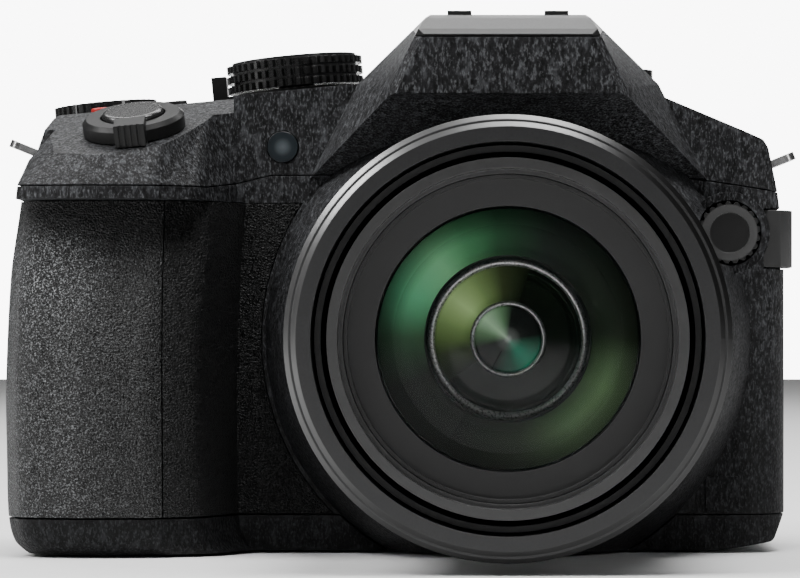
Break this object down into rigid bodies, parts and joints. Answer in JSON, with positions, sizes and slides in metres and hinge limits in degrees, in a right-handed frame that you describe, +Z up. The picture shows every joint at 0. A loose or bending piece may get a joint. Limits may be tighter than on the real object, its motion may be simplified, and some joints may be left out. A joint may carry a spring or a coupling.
{
  "type": "bridge camera",
  "caption": "Bridge camera with a fixed zoom lens, deep rubber grip, lens hump with a lift-up flash, ribbed dials, and a swing-out monitor.",
  "frame": {"origin": "mouth of the tripod socket, on the base under the lens axis", "axes": "+X to the camera's left hand side as seen from its front right, away from the grip; -Y the way the lens looks; +Z up"},
  "size_m": [0.1337, 0.1171, 0.0915],
  "materials": {
    "case_plastic": "dark grey moulded plastic with a fine mottled texture",
    "smooth_plastic": "smooth satin black plastic",
    "grip_rubber": "black rubber with a leather grain",
    "soft_rubber": "soft plain black rubber",
    "barrel_coat": "satin black paint on aluminium",
    "ring_coat": "matt black paint inside the lens",
    "dial_plastic": "glossy black ribbed plastic",
    "button_plastic": "satin black plastic",
    "record_red": "red plastic",
    "lens_glass": "coated optical glass",
    "clear_window": "clear plastic window",
    "screen_glass": "dark glossy screen",
    "chassis_metal": "bare cast frame",
    "steel": "bright steel",
    "black_steel": "black painted steel",
    "board_green": "green circuit board",
    "battery_case": "dark battery case",
    "card_plastic": "dark blue card"
  },
  "bodies": {
    "case": {"front_cover": "case_plastic", "rear_cover": "case_plastic", "base_cover": "case_plastic", "top_cover": "case_plastic", "grip_rubber": "grip_rubber", "front_rubber": "grip_rubber", "thumb_rest": "grip_rubber", "strap_lugs": "steel", "lens_barrel": "smooth_plastic", "lens_bezel": "barrel_coat", "iris_unit": "ring_coat", "rear_group_lens": "lens_glass", "chassis": "chassis_metal", "sensor_board": "board_green", "main_board": "board_green", "zoom_motor": "steel", "battery_bay": "smooth_plastic", "battery": "battery_case", "memory_card": "card_plastic", "hinge_pins": "steel", "hot_shoe": "black_steel", "top_board": "board_green", "af_lamp_window": "clear_window", "viewfinder_module": "smooth_plastic", "eyepiece_lens": "clear_window", "eyecup": "soft_rubber", "tripod_bush": "steel", "case_screws": "black_steel", "feet": "soft_rubber"},
    "cam_tube": {"cam_tube": "ring_coat"},
    "zoom_barrel": {"zoom_barrel": "barrel_coat", "name_ring": "ring_coat", "front_element": "lens_glass"},
    "zoom_group": {"zoom_group_holder": "ring_coat", "zoom_group_lens": "lens_glass"},
    "flash": {"flash_head": "smooth_plastic", "flash_window": "clear_window"},
    "monitor": {"monitor_hinge": "black_steel", "monitor_frame": "smooth_plastic", "monitor_screen": "screen_glass"},
    "battery_door": {"battery_door": "case_plastic"},
    "battery_door_latch": {"battery_door_latch": "button_plastic"},
    "mic_door": {"mic_door": "soft_rubber"},
    "terminal_door": {"terminal_door": "smooth_plastic"},
    "dioptre_wheel": {"dioptre_wheel": "dial_plastic"},
    "mode_dial": {"mode_dial": "dial_plastic"},
    "power_lever": {"power_lever": "smooth_plastic"},
    "rear_dial": {"rear_dial": "dial_plastic"},
    "side_dial": {"side_dial": "dial_plastic"},
    "zoom_lever": {"zoom_lever": "smooth_plastic"},
    "shutter_button": {"shutter_button": "button_plastic"},
    "record_button": {"record_button": "record_red"},
    "top_function_button": {"top_function_button": "button_plastic"},
    "playback_button": {"playback_button": "button_plastic"},
    "display_button": {"display_button": "button_plastic"},
    "finder_switch_button": {"finder_switch_button": "button_plastic"},
    "af_lock_button": {"af_lock_button": "button_plastic"},
    "focus_mode_lever": {"focus_mode_lever": "button_plastic"},
    "cursor_pad": {"cursor_pad": "button_plastic"},
    "menu_set_button": {"menu_set_button": "button_plastic"}
  },
  "joints": [
    {"name": "cam_turn", "type": "hinge", "parent": "case", "child": "cam_tube", "pos_m": [0, -0.045, 0.0355], "axis": [0, -1, 0], "range_deg": [0, 110]},
    {"name": "zoom_extend", "type": "slide", "parent": "case", "child": "zoom_barrel", "axis": [0, -1, 0], "range_m": [0, 0.03]},
    {"name": "zoom_group_travel", "type": "slide", "parent": "case", "child": "zoom_group", "axis": [0, -1, 0], "range_m": [0, 0.024]},
    {"name": "flash_rise", "type": "hinge", "parent": "case", "child": "flash", "pos_m": [0, -0.003, 0.0895], "axis": [-1, 0, 0], "range_deg": [0, 48]},
    {"name": "monitor_swing", "type": "hinge", "parent": "case", "child": "monitor", "pos_m": [0.044, 0.022, 0.03275], "axis": [0, 0, -1], "range_deg": [0, 180]},
    {"name": "battery_door_swing", "type": "hinge", "parent": "case", "child": "battery_door", "pos_m": [-0.0535, -0.006, 0.0015], "axis": [0, -1, 0], "range_deg": [0, 90]},
    {"name": "latch_slide", "type": "slide", "parent": "battery_door", "child": "battery_door_latch", "axis": [1, 0, 0], "range_m": [0, 0.0025]},
    {"name": "mic_door_swing", "type": "hinge", "parent": "case", "child": "mic_door", "pos_m": [0.0469, -0.0024, 0.05225], "axis": [0, 0, 1], "range_deg": [0, 100]},
    {"name": "terminal_door_swing", "type": "hinge", "parent": "case", "child": "terminal_door", "pos_m": [-0.08125, 0.0117, 0.038], "axis": [0, 0, -1], "range_deg": [0, 100]},
    {"name": "dioptre_turn", "type": "hinge", "parent": "case", "child": "dioptre_wheel", "pos_m": [0.0187, 0.013, 0.0808], "axis": [0, 0, 1], "range_deg": [-120, 120]},
    {"name": "mode_dial_turn", "type": "hinge", "parent": "case", "child": "mode_dial", "pos_m": [-0.0361, 0.005, 0.07686], "axis": [-0.0941, 0, 0.9956], "continuous": true},
    {"name": "power_switch", "type": "hinge", "parent": "case", "child": "power_lever", "pos_m": [-0.0361, 0.005, 0.07686], "axis": [0.0941, 0, -0.9956], "range_deg": [0, 30]},
    {"name": "rear_dial_turn", "type": "hinge", "parent": "case", "child": "rear_dial", "pos_m": [-0.0694, 0.011, 0.07371], "axis": [-0.0941, 0, 0.9956], "continuous": true},
    {"name": "side_dial_turn", "type": "hinge", "parent": "case", "child": "side_dial", "pos_m": [0.0364, -0.017, 0.053], "axis": [0, -1, 0], "continuous": true},
    {"name": "zoom_lever_turn", "type": "hinge", "parent": "case", "child": "zoom_lever", "pos_m": [-0.0615, -0.022, 0.06983], "axis": [-0.089, -0.3243, 0.9418], "range_deg": [-20, 20], "stiffness_Nm_per_rad": 0.02},
    {"name": "shutter_press", "type": "slide", "parent": "case", "child": "shutter_button", "axis": [0.089, 0.3243, -0.9418], "range_m": [0, 0.001], "stiffness_N_per_m": 600},
    {"name": "record_press", "type": "slide", "parent": "case", "child": "record_button", "axis": [0.0941, 0, -0.9956], "range_m": [0, 0.0006], "stiffness_N_per_m": 700},
    {"name": "function_press", "type": "slide", "parent": "case", "child": "top_function_button", "axis": [0.0941, 0, -0.9956], "range_m": [0, 0.0006], "stiffness_N_per_m": 700},
    {"name": "playback_press", "type": "slide", "parent": "case", "child": "playback_button", "axis": [0, -1, 0], "range_m": [0, 0.0005], "stiffness_N_per_m": 700},
    {"name": "display_press", "type": "slide", "parent": "case", "child": "display_button", "axis": [0, -1, 0], "range_m": [0, 0.0005], "stiffness_N_per_m": 700},
    {"name": "finder_switch_press", "type": "slide", "parent": "case", "child": "finder_switch_button", "axis": [0, -1, 0], "range_m": [0, 0.0005], "stiffness_N_per_m": 700},
    {"name": "af_lock_press", "type": "slide", "parent": "case", "child": "af_lock_button", "axis": [0, -1, 0], "range_m": [0, 0.0006], "stiffness_N_per_m": 700},
    {"name": "focus_mode_switch", "type": "hinge", "parent": "case", "child": "focus_mode_lever", "pos_m": [-0.051, 0.021, 0.066], "axis": [0, 1, 0], "range_deg": [-25, 25]},
    {"name": "cursor_rock", "type": "hinge", "parent": "case", "child": "cursor_pad", "pos_m": [-0.058, 0.0198, 0.028], "axis": [1, 0, 0], "range_deg": [-3, 3], "stiffness_Nm_per_rad": 0.05},
    {"name": "menu_set_press", "type": "slide", "parent": "case", "child": "menu_set_button", "axis": [0, -1, 0], "range_m": [0, 0.0005], "stiffness_N_per_m": 700}
  ],
  "couplings": [
    {"joint": "zoom_extend", "follows": "cam_turn", "m_per_rad": 0.0156},
    {"joint": "zoom_group_travel", "follows": "cam_turn", "m_per_rad": 0.0125}
  ]
}
